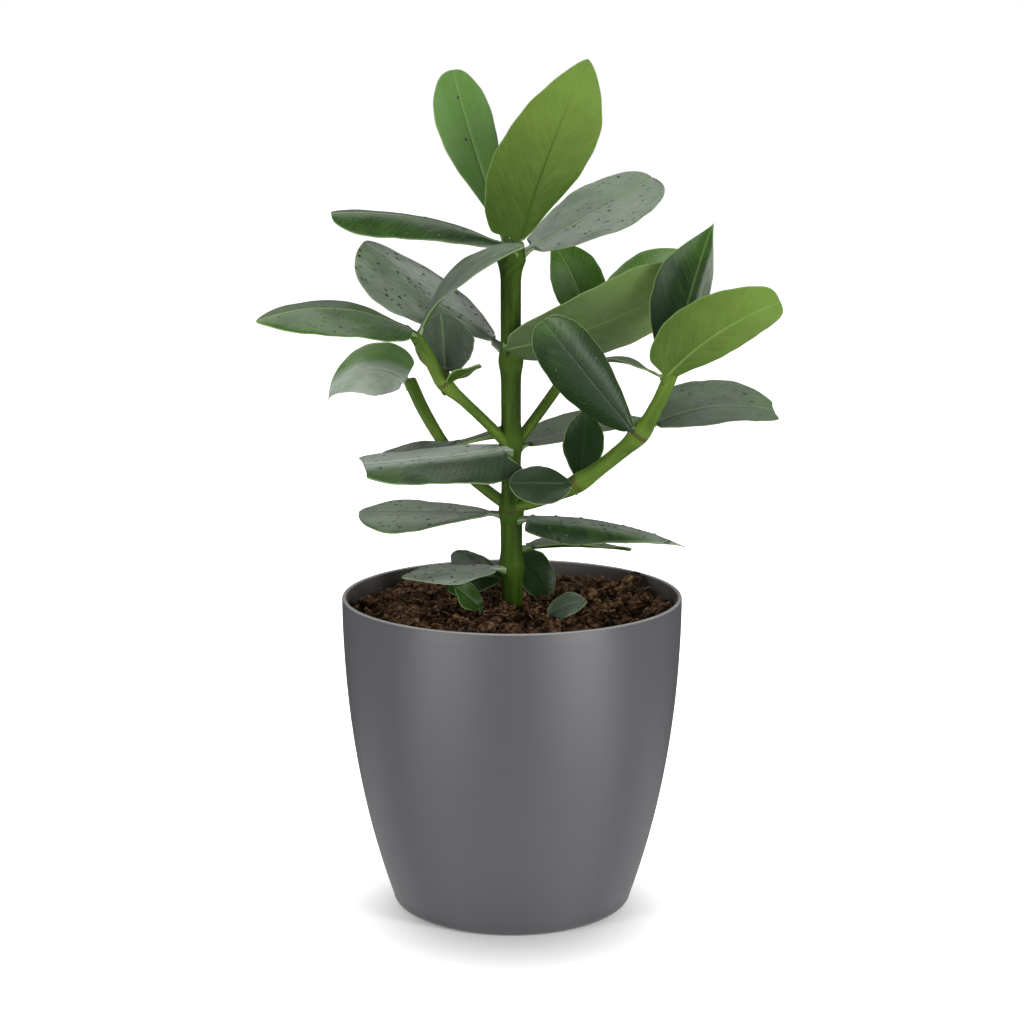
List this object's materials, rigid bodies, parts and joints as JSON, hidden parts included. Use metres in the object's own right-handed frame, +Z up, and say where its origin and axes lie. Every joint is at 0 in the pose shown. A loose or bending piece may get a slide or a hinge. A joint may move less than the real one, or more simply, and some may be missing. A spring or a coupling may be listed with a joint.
{
  "type": "potted clusia",
  "caption": "Young bushy clusia with thick oval leaves in pairs on an upright stem and branches, in a plain round dark grey pot with potting soil.",
  "frame": {"origin": "middle of the pot's flat underside, on the pot's axis", "axes": "+Z up along the pot's axis, -Y towards the front, +X to the right as seen from the front"},
  "size_m": [0.2653, 0.18, 0.443],
  "materials": {
    "pot": "satin",
    "soil": "matte",
    "stem": "satin",
    "leaf": "satin"
  },
  "bodies": {
    "root": {"branch_back_left": "stem", "branch_back_right": "stem", "branch_front_left": "stem", "branch_front_right": "stem", "leaf_back_left_tip": "leaf", "leaf_back_right_side": "leaf", "leaf_back_right_tip_left": "leaf", "leaf_back_right_tip_right": "leaf", "leaf_base_back_left": "leaf", "leaf_base_back_right": "leaf", "leaf_base_left": "leaf", "leaf_base_right": "leaf", "leaf_crown_back": "leaf", "leaf_crown_front": "leaf", "leaf_crown_left": "leaf", "leaf_crown_right": "leaf", "leaf_front_left_side": "leaf", "leaf_front_left_small": "leaf", "leaf_front_left_tip_left": "leaf", "leaf_front_left_tip_right": "leaf", "leaf_front_right_low_back": "leaf", "leaf_front_right_low_left": "leaf", "leaf_front_right_mid_left": "leaf", "leaf_front_right_mid_right": "leaf", "leaf_front_right_tip_back": "leaf", "leaf_front_right_tip_right": "leaf", "leaf_lower_left": "leaf", "leaf_lower_right": "leaf", "leaf_middle_back": "leaf", "leaf_middle_left": "leaf", "leaf_middle_right": "leaf", "leaf_soil_left": "leaf", "leaf_soil_right": "leaf", "leaf_upper_left": "leaf", "leaf_upper_right": "leaf", "main_stem": "stem", "pot": "pot", "soil": "soil"}
  },
  "joints": []
}
